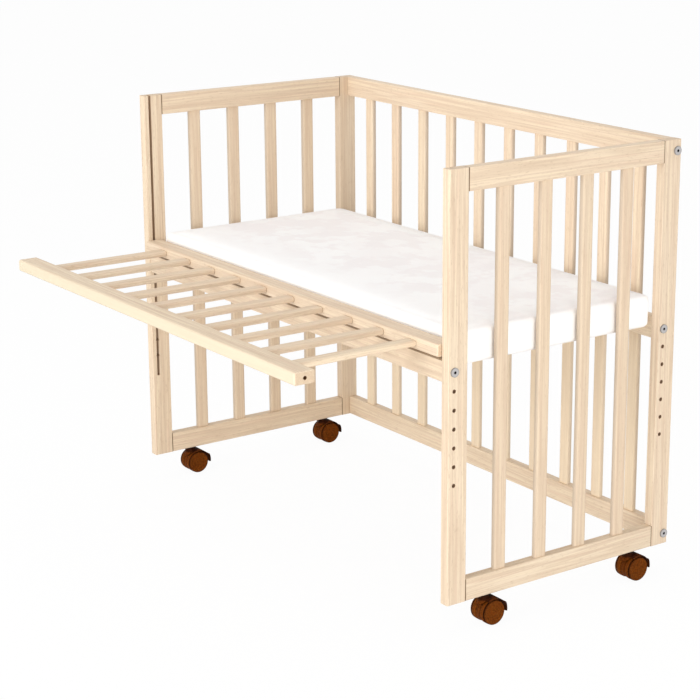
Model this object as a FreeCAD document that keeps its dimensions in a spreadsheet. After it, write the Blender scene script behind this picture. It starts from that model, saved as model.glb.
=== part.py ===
import FreeCAD, Part
import os

# Bedside sleeper crib on braked twin-wheel casters: two slatted end panels, a slatted back
# panel, a base that bolts on at one of seven heights, a mattress, and a slatted gate that
# folds on two pins in the grooves of the front posts. Millimetres, +Z up, the floor at Z 0,
# the open side towards -Y; X 0 and Y 0 are the middle of the outline with the gate folded out.

doc = FreeCAD.newDocument("bedside_crib")
sheet = doc.addObject("Spreadsheet::Sheet", "sizes")

SIZES = [
    # panels
    ("wide", 946), ("deep", 476), ("tall", 700), ("board", 18), ("section", 37),
    ("rounding", 1.5), ("floor_gap", 51), ("centre_shift", 134.5),
    # slats, the same stock in every panel
    ("slat_wide", 25), ("slat_thick", 10), ("slat_rounding", 4.5), ("mortise", 9),
    ("end_pitch", 85.4), ("long_pitch", 86.1),
    # tenons of the end rails
    ("tenon_thick", 8), ("tenon_high", 24), ("tenon_long", 15),
    # bolts, inserts and height holes
    ("front_line", 11), ("rear_line", 26), ("back_line", 9), ("bolt_hole", 6.5),
    ("bolt_shank", 6), ("bolt_long", 43), ("bolt_head", 15), ("head_thick", 2.4),
    ("socket", 2.3), ("socket_deep", 1.5), ("insert_wide", 9), ("insert_long", 13),
    ("pitch_down", 30.7), ("base_level", 384),
    # grooves of the front posts
    ("groove_wide", 5.4), ("groove_deep", 8), ("groove_low", 163),
    # base
    ("base_slat_wide", 40), ("base_slat_down", 10),
    # mattress
    ("mat_long", 907), ("mat_front", 31.5), ("mat_rear", 35.6), ("mat_high", 58),
    ("mat_gap", 0.3), ("mat_corner", 5),
    # gate
    ("gate_long", 908), ("gate_thick", 21), ("pin_level", 416.5), ("gate_reach", 280),
    ("gate_round", 4), ("bullnose", 8.5), ("gate_end_round", 3), ("pin_wide", 5),
    ("pin_slack", 0.1), ("pin_long", 28), ("pin_out", 8), ("lock_bore", 6), ("lock_deep", 30),
    # casters: stem, wheels and axle
    ("caster_line", 157), ("trail", 8.3), ("stem", 8), ("stem_up", 26), ("swivel", 6),
    ("swivel_down", 14), ("flange", 15), ("flange_thick", 2), ("wear_gap", 0.3),
    ("wheel", 42), ("wheel_thick", 13.6), ("wheel_gap", 0.8), ("dish_rim", 5),
    ("dish_deep", 1), ("hub", 12), ("axle", 5), ("axle_slack", 0.1), ("axle_cover", 3),
    # caster hood, web and collar
    ("hood_out", 24.6), ("hood_in", 22.2), ("hood_start", 26), ("hood_sweep", 92),
    ("web_half", 4.4), ("web_out", 20.2), ("web_trim", 18), ("collar", 16),
    ("collar_high", 12),
    # caster brake
    ("lever_back", 12.3), ("lever_up", 8.6), ("lever_half", 2), ("lever_pin", 3),
    ("knuckle", 6.4), ("arm_long", 13.5), ("arm_high", 4.4), ("arm_down", 2.6),
    ("arm_slope", -13), ("pad_half", 16), ("pad_out", 29.4), ("pad_in", 25.6),
    ("pad_start", -8), ("pad_sweep", 32), ("slot_half", 2.3), ("slot_reach", 20),
    ("slot_start", -50), ("slot_sweep", 80), ("eye", 9.4),
]
for row, (alias, value) in enumerate(SIZES, 1):
    sheet.set("A%d" % row, alias)
    sheet.set("B%d" % row, "%g" % value)
    sheet.setAlias("B%d" % row, alias)
doc.recompute()

value = {alias: float(sheet.get(alias)) for alias, _ in SIZES}
AXES = {"X": FreeCAD.Vector(1, 0, 0), "Y": FreeCAD.Vector(0, 1, 0), "Z": FreeCAD.Vector(0, 0, 1)}
# turns a cylinder, made upright, so that it lies along an axis
TURNS = {"X": ((0, 1, 0), 90), "Y": ((1, 0, 0), -90), "Z": ((0, 0, 1), 0)}
FLAT = 0.001    # an edge shorter than this along X lies in a plane across it
nodes = []
used = {}


def name_for(label):
    used[label] = used.get(label, 0) + 1
    return "%s_%d" % (label, used[label]) if used[label] > 1 else label


def bound(text):
    """The expression with each size in it read from the sheet."""
    out = []
    for word in text.replace("(", " ( ").replace(")", " ) ").split():
        out.append("sizes.%s" % word if word in value else word)
    return " ".join(out)


def bind(thing, **sizes):
    for prop, text in sizes.items():
        thing.setExpression(prop, bound(str(text)))
    return thing


def move(thing, at, turn=None):
    if turn:
        thing.Placement = FreeCAD.Placement(FreeCAD.Vector(),
                                            FreeCAD.Rotation(FreeCAD.Vector(*turn[0]), turn[1]))
    for letter, text in zip("xyz", at):
        thing.setExpression("Placement.Base.%s" % letter, bound(str(text)))
    return thing


def box(label, size, at):
    made = bind(doc.addObject("Part::Box", name_for(label)),
                Length=size[0], Width=size[1], Height=size[2])
    return move(made, at)


def rod(label, across, long, at, axis="Z"):
    """A cylinder by its diameter, from the point at along the axis."""
    made = bind(doc.addObject("Part::Cylinder", name_for(label)),
                Radius="( %s ) / 2" % across, Height=long)
    return move(made, at, TURNS[axis])


def cut(label, base, tools):
    """Base less the tools. Each tool has to take something away."""
    tool = tools[0] if len(tools) == 1 else join(label + "_tools", tools)
    made = doc.addObject("Part::Cut", name_for(label))
    made.Base, made.Tool = base, tool
    doc.recompute()
    if not made.Shape.Volume < base.Shape.Volume - 0.5:
        raise RuntimeError("a cut takes nothing away in " + label)
    return made


def join(label, parts):
    made = doc.addObject("Part::MultiFuse", name_for(label))
    made.Shapes = parts
    return made


def group(label, parts):
    made = doc.addObject("Part::Compound", name_for(label))
    made.Links = parts
    return made


def edges_along(shape, axis, test=None):
    names = []
    for number, edge in enumerate(shape.Edges, 1):
        along = edge.tangentAt(edge.FirstParameter)
        if abs(abs(along.dot(AXES[axis])) - 1) < 1e-6:
            if test is None or test(edge.CenterOfMass):
                names.append("Edge%d" % number)
    return names


def end_edges(shape):
    """The edges round both end faces of a bar that lies along X."""
    return ["Edge%d" % number for number, edge in enumerate(shape.Edges, 1)
            if edge.BoundBox.XLength < FLAT]


def bar(label, size, at, axis, rounding="rounding", second=None, ends=None):
    """A planed bar of timber, its long edges rounded. Second gives another radius and a test
    for the edges that take it, ends the radius round the end faces of a bar along X."""
    body = doc.addObject("PartDesign::Body", name_for(label + "_stock"))
    block = body.newObject("PartDesign::AdditiveBox", name_for(label + "_block"))
    bind(block, Length=size[0], Width=size[1], Height=size[2])
    doc.recompute([block])
    first = (lambda p: not second[1](p)) if second else None
    passes = [(rounding, lambda shape: edges_along(shape, axis, first))]
    if second:
        passes.append((second[0], lambda shape: edges_along(shape, axis, second[1])))
    if ends:
        passes.append((ends, end_edges))
    last = block
    for radius, pick in passes:
        step = body.newObject("PartDesign::Fillet", name_for(label + "_edges"))
        step.Base = (last, pick(last.Shape))
        bind(step, Radius=radius)
        doc.recompute([step])
        last = step
    body.Tip = last
    move(body, at)
    return body


def finish(label, thing):
    """Names the object of a node."""
    thing.Label = label
    nodes.append((label, thing))
    return thing


# heights and depths that several pieces share, from the floor and from the middle
FLOOR = "floor_gap"
FRONT = "centre_shift - deep / 2"
REAR = "centre_shift + deep / 2"
FRONT_LINE = FRONT + " + front_line"
REAR_LINE = REAR + " - rear_line"
BACK_LINE = REAR + " - back_line"
BASE = "floor_gap + base_level"
PIN = "floor_gap + pin_level"
SIDES = (("left", -1), ("right", 1))


def beside(sign):
    """X of the near-left corner of a board of the end panel that stands on this side."""
    return "wide / 2 - board" if sign > 0 else "- wide / 2"


def slat_shape(label, at, axis, long, wide="slat_wide"):
    """One slat: upright with its wide face to X or Y, or lying along Y."""
    sizes = {"end": ("slat_thick", "slat_wide", long), "back": ("slat_wide", "slat_thick", long),
             "flat": (wide, long, "slat_thick")}
    return bar(label, sizes[axis], at, "Y" if axis == "flat" else "Z", "slat_rounding")


# ---- end panels --------------------------------------------------------------------------
end_parts = {}
for side, sign in SIDES:
    x0 = beside(sign)
    middle = "( wide / 2 - board / 2 ) * %d" % sign
    slats = []
    for number in range(4):
        y = "centre_shift + ( %g ) * end_pitch - slat_wide / 2" % (number - 1.5)
        slats.append(slat_shape("slat_%s_%d" % (side, number + 1),
                                (middle + " - slat_thick / 2", y, FLOOR + " + section - mortise"),
                                "end", "tall - 2 * section + 2 * mortise"))
    stem_holes = []
    for end in (-1, 1):
        stem_holes.append(rod("stem_hole", "stem", "stem_up",
                              (middle, "centre_shift + %d * caster_line" % end, FLOOR)))
    for level, z0 in (("top", FLOOR + " + tall - section"), ("bottom", FLOOR)):
        label = "rail_%s_%s" % (side, level)
        stock = bar(label, ("board", "deep - 2 * section", "section"),
                    (x0, FRONT + " + section", z0), "Y")
        tenons = [box(label + "_tenon", ("tenon_thick", "tenon_long", "tenon_high"),
                      (middle + " - tenon_thick / 2", y, z0 + " + section / 2 - tenon_high / 2"))
                  for y in (FRONT + " + section - tenon_long", REAR + " - section")]
        rail = cut(label + "_mortised", join(label + "_tenoned", [stock] + tenons), slats)
        if level == "bottom":
            rail = cut(label + "_bored", rail, stem_holes)
        end_parts[label] = finish(label, rail)
    for number, slat in enumerate(slats, 1):
        finish("slat_%s_%d" % (side, number), slat)

# ---- posts -------------------------------------------------------------------------------
bolt_rows = [("front", FRONT_LINE, BASE), ("rear", REAR_LINE, BASE),
             ("rear", BACK_LINE, "floor_gap + section / 2"),
             ("rear", BACK_LINE, "floor_gap + tall - section / 2")]
for side, sign in SIDES:
    x0 = beside(sign)
    for place, y0, line in (("front", FRONT, FRONT_LINE), ("rear", REAR + " - section", REAR_LINE)):
        label = "post_%s_%s" % (place, side)
        stock = bar(label, ("board", "section", "tall"), (x0, y0, FLOOR), "Z")
        holes = [rod(label + "_hole", "bolt_hole", "board", (x0, line, "%s - %d * pitch_down" %
                                                             (BASE, step)), "X")
                 for step in range(1, 7)]
        for row_place, y, z in bolt_rows:
            if row_place == place:
                holes.append(rod(label + "_bolt_hole", "bolt_hole", "board", (x0, y, z), "X"))
        if place == "front":
            gx = "wide / 2 - board" if sign > 0 else "- wide / 2 + board - groove_deep"
            holes.append(box(label + "_groove", ("groove_deep", "groove_wide",
                                                 "tall - groove_low"),
                             (gx, line + " - groove_wide / 2", FLOOR + " + groove_low")))
            holes.append(rod(label + "_groove_end", "groove_wide", "groove_deep",
                             (gx, line, FLOOR + " + groove_low"), "X"))
        holes += [end_parts["rail_%s_%s" % (side, level)] for level in ("top", "bottom")]
        finish(label, cut(label + "_cut", stock, holes))


# ---- long rails between the end panels ---------------------------------------------------
def end_bores(label, y, z):
    """Bolt bore and insert pocket in both ends of a long rail."""
    tools = []
    for side, sign in SIDES:
        for across, long in (("bolt_hole", "bolt_long - board + 2"), ("insert_wide", "insert_long")):
            x = "wide / 2 - board - ( %s )" % long if sign > 0 else "- wide / 2 + board"
            tools.append(rod(label + "_bore", across, long, (x, y, z), "X"))
    return tools


INNER = "wide - 2 * board"
LEFT = "- wide / 2 + board"
back_slats = []
for number in range(10):
    x = "( %g ) * long_pitch - slat_wide / 2" % (number - 4.5)
    back_slats.append(slat_shape("back_slat_%d" % (number + 1),
                                 (x, BACK_LINE + " - slat_thick / 2",
                                  FLOOR + " + section - mortise"),
                                 "back", "tall - 2 * section + 2 * mortise"))
for level, z0 in (("top", FLOOR + " + tall - section"), ("bottom", FLOOR)):
    label = "back_rail_" + level
    stock = bar(label, (INNER, "board", "section"), (LEFT, REAR + " - board", z0), "X")
    tools = back_slats + end_bores(label, BACK_LINE, z0 + " + section / 2")
    finish(label, cut(label + "_cut", stock, tools))
for number, slat in enumerate(back_slats, 1):
    finish("back_slat_%d" % number, slat)

# ---- base --------------------------------------------------------------------------------
base_slats = []
span = "deep - front_line - rear_line - board + 2 * mortise"
for number in range(10):
    x = "( %g ) * long_pitch - base_slat_wide / 2" % (number - 4.5)
    base_slats.append(slat_shape("base_slat", (x, FRONT_LINE + " + board / 2 - mortise",
                                               BASE + " - base_slat_down"),
                                 "flat", span, "base_slat_wide"))
for place, line in (("front", FRONT_LINE), ("rear", REAR_LINE)):
    label = "base_rail_" + place
    stock = bar(label, (INNER, "board", "section"),
                (LEFT, line + " - board / 2", BASE + " - section / 2"), "X")
    finish(label, cut(label + "_cut", stock, base_slats + end_bores(label, line, BASE)))
finish("base_slats", group("base_slats", base_slats))


# ---- mattress ----------------------------------------------------------------------------
def outline(label, inset, corner, level):
    """A rounded rectangle lying flat, inset from the mattress's full outline."""
    long = value["mat_long"] - 2 * inset
    deep = value["deep"] - value["mat_front"] - value["mat_rear"] - 2 * inset
    mid = value["centre_shift"] + (value["mat_front"] - value["mat_rear"]) / 2
    x, y, r = long / 2, deep / 2, corner
    z = value["floor_gap"] + value["base_level"] + value["mat_gap"] + level
    up = FreeCAD.Vector(0, 0, 1)
    pieces = []
    for sx, sy, start in ((1, 1, 0), (-1, 1, 90), (-1, -1, 180), (1, -1, 270)):
        circle = Part.Circle(FreeCAD.Vector(sx * (x - r), sy * (y - r) + mid, z), up, r)
        pieces.append(Part.ArcOfCircle(circle, *(FreeCAD.Units.Quantity(a, "deg").getValueAs(
            "rad").Value for a in (start, start + 90))).toShape())
    lines = []
    for one, two in zip(pieces, pieces[1:] + pieces[:1]):
        lines += [one, Part.makeLine(one.valueAt(one.LastParameter),
                                     two.valueAt(two.FirstParameter))]
    made = doc.addObject("Part::Feature", name_for(label))
    made.Shape = Part.Wire(lines)
    return made


high = value["mat_high"]
corner = value["mat_corner"]
# inset, part of the height and change of corner radius of each outline from the bottom up:
# upright sides over a tight lower edge, a rounder upper edge, and a slightly crowned top
SECTIONS = [(1.6, 0, -1), (0.4, 0.02, 0), (0, 0.06, 0), (0, 0.76, 0), (1.4, 0.87, 1),
            (5, 0.945, 3), (11, 0.975, 7), (60, 0.99, 27), (130, 1.0, 57)]
loft = doc.addObject("Part::Loft", "mattress_form")
loft.Sections = [outline("mattress_outline", inset, corner + change, part * high)
                 for inset, part, change in SECTIONS]
loft.Solid, loft.Ruled = True, True
finish("mattress", loft)

# ---- gate --------------------------------------------------------------------------------
gate_left = "- gate_long / 2"
hinge_front = FRONT_LINE + " - section / 2"
outer_front = FRONT_LINE + " - gate_reach"
bars = []
for number in range(10):
    x = "( %g ) * long_pitch - slat_wide / 2" % (number - 4.5)
    bars.append(slat_shape("gate_bar_%d" % (number + 1),
                           (x, outer_front + " + section - mortise", PIN + " - slat_thick / 2"),
                           "flat", "gate_reach - 1.5 * section + 2 * mortise"))
hinge = bar("gate_hinge_rail", ("gate_long", "section", "gate_thick"),
            (gate_left, hinge_front, PIN + " - gate_thick / 2"), "X", "gate_round",
            ("bullnose", lambda p: p.y > value["section"] / 2), "gate_end_round")
outer = bar("gate_outer_rail", ("gate_long", "section", "gate_thick"),
            (gate_left, outer_front, PIN + " - gate_thick / 2"), "X", "gate_round",
            ends="gate_end_round")
pins, pin_bores, lock_bores = [], [], []
for side, sign in SIDES:
    x = "gate_long / 2 + pin_out - pin_long" if sign > 0 else "- gate_long / 2 - pin_out"
    pins.append(rod("gate_pin", "pin_wide", "pin_long", (x, FRONT_LINE, PIN), "X"))
    x = "gate_long / 2 - pin_long" if sign > 0 else gate_left
    pin_bores.append(rod("gate_bore", "pin_wide + pin_slack", "pin_long",
                         (x, FRONT_LINE, PIN), "X"))
    x = "gate_long / 2 - lock_deep" if sign > 0 else gate_left
    lock_bores.append(rod("lock_bore", "lock_bore", "lock_deep",
                          (x, outer_front + " + section / 2", PIN), "X"))
finish("gate_hinge_rail", cut("gate_hinge_rail_cut", hinge, bars + pin_bores))
finish("gate_outer_rail", cut("gate_outer_rail_cut", outer, bars + lock_bores))
for number, one in enumerate(bars, 1):
    finish("gate_bar_%d" % number, one)
finish("gate_pins", group("gate_pins", pins))

# ---- bolts and inserts -------------------------------------------------------------------
bolts, inserts = [], []
for side, sign in SIDES:
    for place, y, z in bolt_rows:
        face = "wide / 2" if sign > 0 else "- wide / 2"
        x = face if sign > 0 else face + " - head_thick"
        head = rod("bolt_head", "bolt_head", "head_thick", (x, y, z), "X")
        x = face + " - bolt_long" if sign > 0 else face
        shank = rod("bolt_shank", "bolt_shank", "bolt_long", (x, y, z), "X")
        key = bind(doc.addObject("Part::Prism", name_for("bolt_key")),
                   Circumradius="socket", Height="socket_deep")
        key.Polygon = 6
        x = face + " + head_thick - socket_deep" if sign > 0 else face + " - head_thick"
        move(key, (x, y, z), TURNS["X"])
        bolts.append(cut("bolt", join("bolt_blank", [head, shank]), [key]))
        x = ("wide / 2 - board - insert_long" if sign > 0 else "- wide / 2 + board")
        sleeve = rod("insert_sleeve", "insert_wide", "insert_long", (x, y, z), "X")
        thread = rod("insert_thread", "bolt_shank", "insert_long", (x, y, z), "X")
        inserts.append(cut("insert", sleeve, [thread]))
finish("frame_bolts", group("frame_bolts", bolts))
finish("threaded_inserts", group("threaded_inserts", inserts))

# ---- casters -----------------------------------------------------------------------------
def rearward(start):
    """Lays a cylinder along X with its angle 0 at start degrees above the rear."""
    across = FreeCAD.Rotation(FreeCAD.Vector(0, 1, 0), 90)
    spun = FreeCAD.Rotation(FreeCAD.Vector(0, 0, 1), 90)
    return FreeCAD.Rotation(FreeCAD.Vector(1, 0, 0), start).multiply(across.multiply(spun))


def sector(label, across, wide, at, start, sweep):
    """Part of a cylinder that lies along X, from start degrees above the rear."""
    made = bind(rod(label, across, wide, at, "X"), Angle=sweep)
    made.Placement.Rotation = rearward(value[start])
    return made


def ring(label, out, inside, wide, at, start, sweep):
    return cut(label + "_ring", sector(label, "2 * " + out, wide, at, start, sweep),
               [sector(label, "2 * " + inside, wide, at, start, sweep)])


WHOLE = "2 * ( web_half + wheel_gap + wheel_thick )"
stems = []
for side, sign in SIDES:
    for place, end in (("front", -1), ("rear", 1)):
        name = "caster_%s_%s" % (place, side)
        cx = "( wide / 2 - board / 2 ) * %d" % sign
        cy = "centre_shift + %d * caster_line" % end
        hy, hz = cy + " + trail", "wheel / 2"
        x_end = cx + " - web_half - wheel_gap - wheel_thick"
        x_web = cx + " - web_half"

        stems.append(join(name + "_stem_joined", [
            rod(name + "_stem", "stem", "stem_up", (cx, cy, FLOOR)),
            rod(name + "_flange", "flange", "flange_thick", (cx, cy, FLOOR + " - flange_thick")),
            rod(name + "_swivel", "swivel", "swivel_down", (cx, cy, FLOOR + " - swivel_down"))]))

        # hood over both wheels, the web between them and the collar round the stem
        hood = [ring(name + "_hood", "hood_out", "hood_in", WHOLE, (x_end, hy, hz),
                     "hood_start", "hood_sweep"),
                sector(name + "_hood_root", "hood_in + hood_out", "2 * web_half",
                       (x_web, hy, hz), "hood_start", "hood_sweep")]
        web = cut(name + "_web_trimmed",
                  rod(name + "_web", "2 * web_out", "2 * web_half", (x_web, hy, hz), "X"),
                  [box(name + "_web_cut", ("2 * web_half", "2 * web_out", "web_out"),
                       (x_web, hy + " - web_out", hz + " - web_out - web_trim"))])
        boss = rod(name + "_boss", "collar", "collar_high",
                   (cx, cy, FLOOR + " - flange_thick - wear_gap - collar_high"))
        room = rod(name + "_wheel_room", "2 * hood_in", WHOLE, (x_end, hy, hz), "X")
        solid = join(name + "_housing_solid",
                     hood + [web, cut(name + "_collar", boss, [room])])
        py, pz = hy + " + lever_back", hz + " + lever_up"
        x_slot = cx + " - slot_half"
        bores = [
            sector(name + "_slot", "2 * slot_reach", "2 * slot_half", (x_slot, py, pz),
                   "slot_start", "slot_sweep"),
            rod(name + "_eye", "eye", "2 * slot_half", (x_slot, py, pz), "X"),
            rod(name + "_lever_bore", "lever_pin + axle_slack", "2 * web_half",
                (x_web, py, pz), "X"),
            rod(name + "_axle_bore", "axle + axle_slack", "2 * web_half", (x_web, hy, hz), "X"),
            rod(name + "_swivel_bore", "swivel + axle_slack", "swivel_down",
                (cx, cy, FLOOR + " - swivel_down - 2 * wear_gap"))]
        finish(name + "_housing", cut(name + "_housing_cut", solid, bores))

        # two dished wheels pressed on one axle, which stops short of their outer faces
        axle_at = x_end + " + axle_cover"
        wheels = [rod(name + "_axle", "axle", WHOLE + " - 2 * axle_cover",
                      (axle_at, hy, hz), "X")]
        for way in (-1, 1):
            x = x_end if way < 0 else cx + " + web_half + wheel_gap"
            outer = x if way < 0 else x + " + wheel_thick - dish_deep"
            inner = axle_at if way < 0 else x
            dish = cut(name + "_dish_ring",
                       rod(name + "_dish", "wheel - 2 * dish_rim", "dish_deep",
                           (outer, hy, hz), "X"),
                       [rod(name + "_hub", "hub", "dish_deep", (outer, hy, hz), "X")])
            wheels.append(cut(name + "_wheel_dished",
                              rod(name + "_wheel", "wheel", "wheel_thick", (x, hy, hz), "X"),
                              [dish, rod(name + "_wheel_bore", "axle",
                                         "wheel_thick - axle_cover", (inner, hy, hz), "X")]))
        finish(name + "_wheels", group(name + "_wheels", wheels))

        # the pedal behind the wheels, its arm turning on a pin in the web
        arm = box(name + "_arm", ("2 * lever_half", "arm_long", "arm_high"),
                  (cx + " - lever_half", py, pz + " - arm_down"))
        arm.Placement.Rotation = FreeCAD.Rotation(FreeCAD.Vector(1, 0, 0), value["arm_slope"])
        finish(name + "_brake", join(name + "_brake_joined", [
            ring(name + "_pad", "pad_out", "pad_in", "2 * pad_half",
                 (cx + " - pad_half", hy, hz), "pad_start", "pad_sweep"), arm,
            rod(name + "_knuckle", "knuckle", "2 * lever_half",
                (cx + " - lever_half", py, pz), "X"),
            rod(name + "_lever_pin", "lever_pin", "2 * web_half", (x_web, py, pz), "X")]))
finish("caster_stems", group("caster_stems", stems))

# ---- checks and export -------------------------------------------------------------------
doc.recompute()
for thing in doc.Objects:
    if "Invalid" in thing.State or "Error" in thing.State:
        raise RuntimeError("%s: %s" % (thing.Name, thing.State))
os.makedirs("parts", exist_ok=True)
for label, thing in nodes:
    shape = thing.Shape
    if shape.isNull() or not shape.isValid():
        raise RuntimeError("bad shape: " + label)
    shape.exportStep("parts/%s.step" % label)
    print("%-28s solids %2d  volume %10.0f" % (label, len(shape.Solids), shape.Volume))
print(len(nodes), "nodes")
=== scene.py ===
"""Dresses the bedside crib: planed pale timber, steel fastenings, a foam mattress under a
woven cover, and hooded twin-wheel casters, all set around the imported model."""
import math

import bmesh
import bpy
from mathutils import Matrix, Vector
from mathutils.bvhtree import BVHTree


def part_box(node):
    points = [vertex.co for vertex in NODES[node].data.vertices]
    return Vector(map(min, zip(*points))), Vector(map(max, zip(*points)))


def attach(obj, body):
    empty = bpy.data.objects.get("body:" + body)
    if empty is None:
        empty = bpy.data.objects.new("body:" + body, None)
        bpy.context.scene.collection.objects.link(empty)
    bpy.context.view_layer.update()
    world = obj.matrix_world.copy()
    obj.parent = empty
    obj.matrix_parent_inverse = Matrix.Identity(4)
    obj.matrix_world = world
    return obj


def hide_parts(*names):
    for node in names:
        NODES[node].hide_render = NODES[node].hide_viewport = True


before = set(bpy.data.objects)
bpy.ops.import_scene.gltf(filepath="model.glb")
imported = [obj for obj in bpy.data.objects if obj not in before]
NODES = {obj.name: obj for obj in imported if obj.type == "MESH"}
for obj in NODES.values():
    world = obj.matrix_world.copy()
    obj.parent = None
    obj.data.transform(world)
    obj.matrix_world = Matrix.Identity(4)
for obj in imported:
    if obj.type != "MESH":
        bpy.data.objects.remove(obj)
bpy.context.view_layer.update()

bl_info = {
    "name": "Bedside crib",
    "version": (1, 0, 0),
    "blender": (4, 5, 0),
    "location": "3D View > Sidebar > Crib",
    "description": "Finishes for a slatted bedside crib on casters, and the stage it stands on",
    "category": "Object",
}

CASTERS = ["caster_%s_%s" % (place, side) for place in ("front", "rear")
           for side in ("left", "right")]
WHITE = (1.0, 1.0, 1.0, 1.0)

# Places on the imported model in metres, which the finishes follow
# the slats' pitch in the back panel and in the end panels
LONG_PITCH, END_PITCH = 0.0861, 0.0854
# the end panels: their middle, and from there the inner edges of the posts
PANEL_MIDDLE, POST_REACH = 0.1345, 0.201
# the inner and outer faces of the end panels, from the middle of the crib
POST_INNER, POST_OUTER = 0.455, 0.473
# the middle between the upper and lower rails, and from there their inner edges
RAIL_MIDDLE, RAIL_REACH = 0.401, 0.313
# the front face of the back rails, and the front face and top of the front base rail
BACK_FACE, BASE_FACE, BASE_TOP = 0.3545, -0.1015, 0.4535
# bolts, seen along X: line and level of each, and where painted shade darkens their rims and
# sockets
BOLTS = ((-0.0925, 0.435), (0.3465, 0.435), (0.3635, 0.0695), (0.3635, 0.7325))
BOLT_RIM, SOCKET_RADIUS = 0.0073, 0.0026
# height holes below the upper bolts
HOLE_LINES, HOLE_PITCH, HOLE_RADIUS = (-0.0925, 0.3465), 0.0307, 0.00325
# the grooves of the front posts: half of what is painted with shade, the floor and the lower end
GROOVE_HALF, GROOVE_FLOOR, GROOVE_LOW = 0.0026, 0.463, 0.211
# the gate: its level, and the middle and half length of its bars between the rails
GATE_LEVEL, BAR_MIDDLE, BAR_HALF = 0.4675, -0.22325, 0.11225
# the gate's outer rail: its outer face, its underside and its lock bores
GATE_FACE, GATE_UNDER = -0.3725, 0.457
LOCK_BORE, LOCK_RADIUS = (-0.354, 0.4675), 0.003
# the casters' stems, from the middle of the crib and of the end panels
STEM_X, STEM_Y = 0.464, 0.157

# Shades of the timber, as factors of its tone
CREAM, TAN, PINK = (1.10, 1.115, 1.06), (0.83, 0.755, 0.69), (0.99, 0.90, 0.86)
# the last of the next three is painted light, a paler outer face for the gate's outer rail
FLECK, END_GRAIN, FRONT_FACE_LIGHT = (0.62, 0.52, 0.43), (0.80, 0.72, 0.63), (1.0, 1.065, 1.03)
# both of the next are painted shade: below the gate's outer rail, and on the slats' narrow sides
UNDERSIDE_SHADE, NARROW_SIDE_SHADE = (0.60, 0.52, 0.43), (0.72, 0.71, 0.71)
# both of the next are painted shade: in the joints, and in the holes, bores and grooves
JOINT_SHADE, BORE_SHADE = (0.26, 0.19, 0.12), (0.32, 0.185, 0.10)

# Casters, in metres from the middle of the axle, and in degrees, 0 to the rear and 90 up
STEM_TO_AXLE, WHEEL_RADIUS, HALF_WIDTH, DISC_GROOVE = 0.0083, 0.021, 0.0188, 0.0155
# half a wheel set, as distance from the middle and radius, in mm: from the face beside the web,
# over the tread, down the groove behind the outer disc and across the shallow dish to the hub
WHEEL = ((5.2, 0), (5.2, 19.2), (5.7, 20.4), (6.8, 21), (14.2, 21), (14.5, 20.2), (14.6, 17.2),
         (16.7, 17.0), (16.8, 20.0), (17.2, 20.6), (17.8, 20.7), (18.3, 20.3), (18.7, 19.7),
         (18.8, 18.9), (18.8, 17), (18.7, 16.5), (18.35, 15.9), (18.2, 15.2), (18.2, 11.4),
         (18.4, 11.1), (18.4, 10.6), (18.2, 10.3), (18.2, 7), (18.35, 6.4), (18.65, 6.1),
         (18.8, 5.5), (18.8, 0))
AXLE_HALF, AXLE_RADIUS, AXLE_BORE, BOSS_RADIUS = 0.0053, 0.0025, 0.0026, 0.006
HOOD_IN, HOOD_OUT, HOOD_START, HOOD_END = 0.0222, 0.0246, 26, 118
# the web between the wheels, and the slot in it for the pedal's arm
WEB_HALF, WEB_IN, WEB_OUT, WEB_LOW = 0.0044, 0.0028, 0.0202, 0.018
SLOT_HALF, SLOT_START, SLOT_END = 0.0023, -24, 61
# the swivel collar, as radius and distance below its top
COLLAR_TOP = 0.0277
COLLAR = ((0.0034, 0.0), (0.0068, 0.0), (0.0076, 0.0006), (0.0080, 0.0016), (0.0080, 0.0044),
          (0.0094, 0.0060), (0.0112, 0.0070))
# the pedal: its pivot, its pad, and its arm's size, drop below the pivot and slope
LEVER_BACK, LEVER_UP, KNUCKLE, PIVOT_RADIUS = 0.0123, 0.0086, 0.0032, 0.0015
PAD_IN, PAD_OUT, PAD_HALF, PAD_START, PAD_END = 0.0256, 0.0294, 0.016, -8, 24
ARM_SIZE, ARM_DROP, ARM_SLOPE = (0.004, 0.0135, 0.0044), 0.0026, -13
# the rounding of moulded edges
WORN = 0.0002

# The corners of a rounded section: which side, outer or inner, and the angle that its arc
# starts at
SECTION_CORNERS = ((1, 1, 0), (-1, 1, 90), (-1, -1, 180), (1, -1, 270))

# The camera that was fitted to the photo: in metres and radians, the sensor in mm, and the
# rest in pixels
CAMERA_PLACE = (2.770424, -1.878229, 1.284429)
YAW, PITCH, ROLL = 0.928620, 0.268434, 0.002494
SENSOR, PICTURE, FOCAL, CENTRE = 36.0, 700, 1975.454, (419.251, 341.517)


# ---- node expressions --------------------------------------------------------------------
class Value:
    """A socket that Python's operators can be used on."""

    def __init__(self, nodes, socket):
        self.nodes, self.socket = nodes, socket

    def maths(self, operation, *others):
        return self.nodes.node("ShaderNodeMath", {"operation": operation},
                               dict(enumerate((self,) + others)))

    def __add__(self, other):
        return self.maths("ADD", other)

    def __mul__(self, other):
        return self.maths("MULTIPLY", other)

    def __sub__(self, other):
        return self.maths("SUBTRACT", other)

    def __rsub__(self, other):
        return (self * -1) + other

    def __truediv__(self, other):
        return self.maths("DIVIDE", other)

    def __gt__(self, other):
        return self.maths("GREATER_THAN", other)

    __radd__, __rmul__ = __add__, __mul__

    def floor(self):
        return self.maths("FLOOR")

    def absolute(self):
        return self.maths("ABSOLUTE")

    def within(self, centre, half, soft=0.0002):
        """1 where this is no further than half from the centre."""
        return (self - centre).absolute().ramp(half + soft, half)

    def beyond(self, edge, soft=0.0002):
        """1 above the edge."""
        return self.ramp(edge, edge + soft)

    def ramp(self, low, high):
        """0 at low, 1 at high, smooth between."""
        return self.nodes.node("ShaderNodeMapRange", {"interpolation_type": "SMOOTHSTEP"},
                               {"Value": self, "From Min": low, "From Max": high})


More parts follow.
